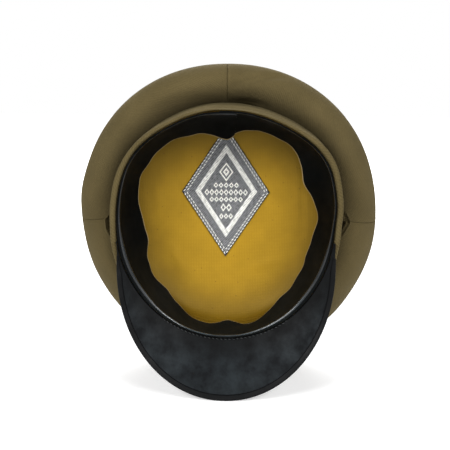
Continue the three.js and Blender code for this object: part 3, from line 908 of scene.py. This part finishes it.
# Two rows of slanting stitches along each side of the label.
def labelStitches():
    solids = []
    half = np.array([label["halfWidth"], label["halfLength"]])
    for row, inset in enumerate(label["rows"]):
        size = (1 - inset / lozengeInset(*half)) * half
        for start, end in zip(lozengeCorners[:-1] * size, lozengeCorners[1:] * size):
            count = int(np.linalg.norm(end - start) / label["stitchPitch"])
            t = (np.arange(count) + 0.5 + 0.35 * row) / (count + 0.35)
            plan = label["middle"] + start + (end - start) * t[:, None]
            line = np.append(unit(end - start), 0)
            slanted = unit(line + np.array([-line[1], line[0], 0]) * 0.25)
            solids.append(stitches(lift(plan, labelFace(plan) - 0.1), np.tile(slanted, (count, 1)),
                                   np.tile([0.0, 0, -1], (count, 1)), label["stitchLength"],
                                   label["stitchWidth"], label["stitchHeight"]))
    return solids


def labelWeaving():
    solids = labelStitches()
    for row in labelMarks:
        for k in range(row["count"]):
            x = labelFrame["middle"][0] + row["pitch"] * (k - (row["count"] - 1) / 2)
            solids.append(lozengeStrip((x, row["y"]), row["halfWidth"], row["halfLength"],
                                       row["width"], markRaise, 4))
    brightFaces = len(joined(solids)[1])
    solids.append(lozengeStrip(labelFrame["middle"], labelFrame["halfWidth"], labelFrame["halfLength"],
                               labelFrame["width"], labelFrame["raise"], 24))
    solid = joined(solids)
    isFrame = np.arange(len(solid[1])) >= brightFaces
    return addPiece("label_weaving", solid, [brightThread, labelThread], (), isFrame)


liningShell()
labelPatch()
labelWeaving()
print("lining and label made")


peak = {
    "halfWidth": 91.1, "straight": 34, "arcReach": 108.2, "squareness": 2.04, "radius": 120,
    "drop": math.radians(30), "wall": 2.5, "eased": 0.5, "tailEnd": 82, "tailWidth": 0.8,
    "bindingEnd": 75, "inside": 0.9, "rows": 44,
}
binding = {"lip": 4.8, "edge": 1.1, "wall": 0.8, "nose": 1.35, "fullAt": 8, "pucker": 0.05}
peakSeam = {"pitch": 3.4, "length": 2.2, "width": 0.5, "height": 0.28, "out": 0.55, "end": 34, "radius": 95}


# Whether a point in plan is under the peak.
def underPeak(plan):
    power = peak["squareness"]
    across = np.clip(np.abs(plan[..., 0]) / peak["halfWidth"], 0, 1)
    arc = peak["straight"] + peak["arcReach"] * (1 - across**power) ** (1 / power)
    return (np.abs(plan[..., 0]) < peak["halfWidth"]) & (plan[..., 1] < arc)


# How far the peak's outline stands out from its inner edge, measured in plan.
def peakReach(degrees):
    near, far = 0, 2 * peak["arcReach"]
    for _ in range(40):
        middle = (near + far) / 2
        within = underPeak(ringPoint(degrees, peak["inside"] + middle))
        near, far = np.where(within, middle, near), np.where(within, far, middle)
    return near


# A point on the sloping peak, out from its inner edge and up from its upper face.
def peakPoint(degrees, out, up):
    return lift(ringPoint(degrees, peak["inside"] + out), up - out * math.tan(peak["drop"]))


def bindingSize(degrees):
    return np.minimum(1, peakReach(degrees) / binding["fullAt"])


def peakPlate():
    degrees = np.linspace(-peak["tailEnd"], peak["tailEnd"], 200)
    reach = peakReach(degrees) - (binding["edge"] + seamGap) * bindingSize(degrees)
    width = np.maximum(peak["tailWidth"], reach)[:, None]
    shares = np.linspace(0, 1, peak["rows"])
    eased = peak["eased"]  # both edges of the plate are rounded this much
    toEdge = np.minimum(width * np.minimum(shares, 1 - shares) + 0.02, eased)
    ease = eased - np.sqrt(eased**2 - (eased - toEdge) ** 2)
    top = peakPoint(degrees[:, None], width * shares, -ease)
    under = peakPoint(degrees[:, None], width * shares, ease - peak["wall"])
    solid = sweep(np.concatenate([top, under[:, ::-1]], 1), closed=False)
    lastTop = peak["rows"] - 1
    isUnder = np.tile(np.arange(2 * peak["rows"]) >= lastTop, len(degrees) - 1)
    kinds = np.concatenate([isUnder, np.zeros(2 * lastTop, bool)])
    return addPiece("peak_plate", solid, [peakFace, peakSkin], ["peak"], kinds)


# The binding's section: a skin round the edge, and a groove in it that holds the plate. The first
# number is the distance in from the outline, the second the height from the middle of the plate.
def bindingSection(inside, outside):
    lip, nose = binding["lip"], binding["nose"]
    turn = np.radians(np.linspace(90, -90, 17))
    front = np.stack([nose - nose * np.cos(turn), outside * np.sin(turn)], -1)
    upper = np.array([[lip, inside + 0.15], [lip - 0.1, outside - 0.25], [lip - 0.45, outside - 0.04],
                      [lip - 1.2, outside], [lip - 2.4, outside]])
    skin = np.concatenate([upper, front, upper[::-1] * [1, -1]])
    back, side = np.linspace(lip, binding["edge"], 10)[:-1], np.linspace(-inside, inside, 9)
    groove = np.concatenate([
        np.stack([back, -inside + 0 * back], -1),
        np.stack([binding["edge"] + 0 * side, side], -1),
        np.stack([back[::-1], inside + 0 * back], -1),
    ])
    return np.concatenate([skin, groove])


def peakBinding():
    degrees = np.linspace(-peak["bindingEnd"], peak["bindingEnd"], 240)
    half = peak["wall"] / 2
    section = bindingSection(half + seamGap, half + seamGap + binding["wall"])
    size = bindingSize(degrees)[:, None]
    inwards, up = section.T
    beyond = np.sign(up) * np.maximum(np.abs(up) - half, 0) * size
    height = np.sign(up) * np.minimum(np.abs(up), half) + beyond
    puckers = binding["pucker"] * np.sin(np.radians(degrees * 37))[:, None] * (inwards > 2)
    stations = peakPoint(degrees[:, None], peakReach(degrees)[:, None] - inwards * size,
                         height - half + puckers * np.sign(up))
    lengths = (np.append(np.radians(degrees) * peak["radius"], 0), lengthsRound(section))
    return addPiece("peak_edge_binding", sweep(stations, lengths, closed=False), [bindingSkin],
                    ["peak_binding"])


# The line of stitches that holds the peak, along its inner edge.
def peakStitches():
    count = int(math.radians(2 * peakSeam["end"]) * peakSeam["radius"] / peakSeam["pitch"])
    degrees = np.linspace(-peakSeam["end"], peakSeam["end"], count)
    out, up = peakSeam["out"], -peak["wall"] - 0.05
    places = peakPoint(degrees, out, up)
    line = unit(peakPoint(degrees + 0.5, out, up) - places)
    across = unit(peakPoint(degrees, out + 0.5, up) - places)
    slanted = unit(line + 0.35 * across)
    down = np.cross(line, across)
    down *= -np.sign(down[:, 2:])
    solid = stitches(places, slanted, down, peakSeam["length"], peakSeam["width"], peakSeam["height"])
    return addPiece("peak_stitches", solid, [peakThread])


peakPlate()
peakBinding()
peakStitches()
print("peak made")


# The floor and a plain white room. The paper looks as bright as the room, but lights the cap
# only with what falls on it. The cloth and the peak's tip give a little less than the solids do,
# so the floor lies that much lower.
stage = {
    "floor": 8.0, "floorHeight": -0.0014, "paper": "#dcdcdc", "room": 1.0, "roomLight": 0.25,
    "nearGlow": 0.45, "farGlow": 1.0, "glowFrom": 0.3, "glowTo": 0.9,
}

# Soft lamps: where they stand and how large they are, in metres, and their power in watts.
lamps = [
    {"name": "left", "at": (-1.12, -1.43, 1.19), "size": 0.8, "power": 33},
    {"name": "right", "at": (1.12, -1.43, 1.19), "size": 0.8, "power": 30},
    {"name": "fill", "at": (0.05, -2.07, 0.5), "size": 0.9, "power": 8},
    {"name": "back", "at": (0, 1.6, 1.3), "size": 1.6, "power": 45},
]

view = {
    "rise": 0.2007, "turn": 0.0264, "roll": 0.0068,  # radians, from straight into the opening
    "distance": 750, "aim": (-0.98, 0.985), "lens": 72.45,
}


# Matt white paper, uncoated, with a painted glow that only the camera sees: even and bright, and a little
# weaker close about the cap.
def glowingPaper():
    m = newMaterial("matt white paper")
    place = addNode(m, "TexCoord").outputs["Object"]
    away = addNode(m, "VectorMath", {"operation": "LENGTH"}, {0: place}).outputs["Value"]
    glow = addRange(m, away, (stage["glowFrom"], stage["glowTo"]), (stage["nearGlow"], stage["farGlow"]))
    seen = addNode(m, "LightPath").outputs["Is Camera Ray"]
    glowSeen = addNode(m, "Math", {"operation": "MULTIPLY"}, {0: glow, 1: seen})
    surface = addNode(m, "BsdfPrincipled",
                      {"Base Color": linear(stage["paper"]), "Roughness": 0.9,
                       "Specular IOR Level": 0.1, "Emission Color": (1, 1, 1, 1)},
                      {"Emission Strength": glowSeen})
    addNode(m, "OutputMaterial", {}, {"Surface": surface})
    return m


def makeFloor():
    half, height = stage["floor"] / 2, stage["floorHeight"]
    corners = [(-half, -half, height), (half, -half, height), (half, half, height), (-half, half, height)]
    mesh = bpy.data.meshes.new("floor")
    mesh.from_pydata(corners, [], [(0, 1, 2, 3)])
    mesh.materials.append(glowingPaper())
    addObject("floor", mesh)


# The room is white where it is seen, and lights the cap more softly than it looks.
def makeRoom():
    world = bpy.data.worlds.new("room")
    bpy.context.scene.world = world
    world.use_nodes = True
    world.node_tree.nodes.clear()
    seen = addNode(world, "LightPath").outputs["Is Camera Ray"]
    strength = addRange(world, seen, (0, 1), (stage["roomLight"], stage["room"]))
    light = addNode(world, "Background", {"Color": (1, 1, 1, 1)}, {"Strength": strength})
    addNode(world, "OutputWorld", {}, {"Surface": light})


def makeLamps():
    middle = (cadBox[0] + cadBox[1]) / 2
    for row in lamps:
        lamp = bpy.data.lights.new(row["name"], "AREA")
        lamp.shape, lamp.size, lamp.energy = "DISK", row["size"], row["power"]
        stand = addObject(row["name"], lamp)
        stand.location = row["at"]
        stand.rotation_euler = (middle - Vector(row["at"])).to_track_quat("-Z", "Y").to_euler()


# The camera looks into the opening, a little from behind and above.
def makeCamera():
    toCamera = Vector((math.sin(view["turn"]), -math.sin(view["rise"]) * math.cos(view["turn"]),
                       -math.cos(view["rise"]) * math.cos(view["turn"])))
    up = Vector((0, -1, 0))
    up = (up - up.dot(toCamera) * toCamera).normalized()
    right = up.cross(toCamera)
    roll = view["roll"]
    across = math.cos(roll) * right + math.sin(roll) * up
    upright = math.cos(roll) * up - math.sin(roll) * right
    at = view["distance"] * toCamera + view["aim"][0] * across + view["aim"][1] * upright
    spin = Matrix(placement[0].tolist())
    turned = spin @ Matrix((across, upright, toCamera)).transposed()
    lens = bpy.data.cameras.new("camera")
    lens.lens, lens.sensor_width = view["lens"], 36
    camera = addObject("camera", lens)
    camera.matrix_world = Matrix.Translation(Vector(toFrame(np.array(at)))) @ turned.to_4x4()
    bpy.context.scene.camera = camera


makeFloor()
makeRoom()
makeLamps()
makeCamera()
bpy.context.scene.view_settings.view_transform = "Standard"
print("stage set")
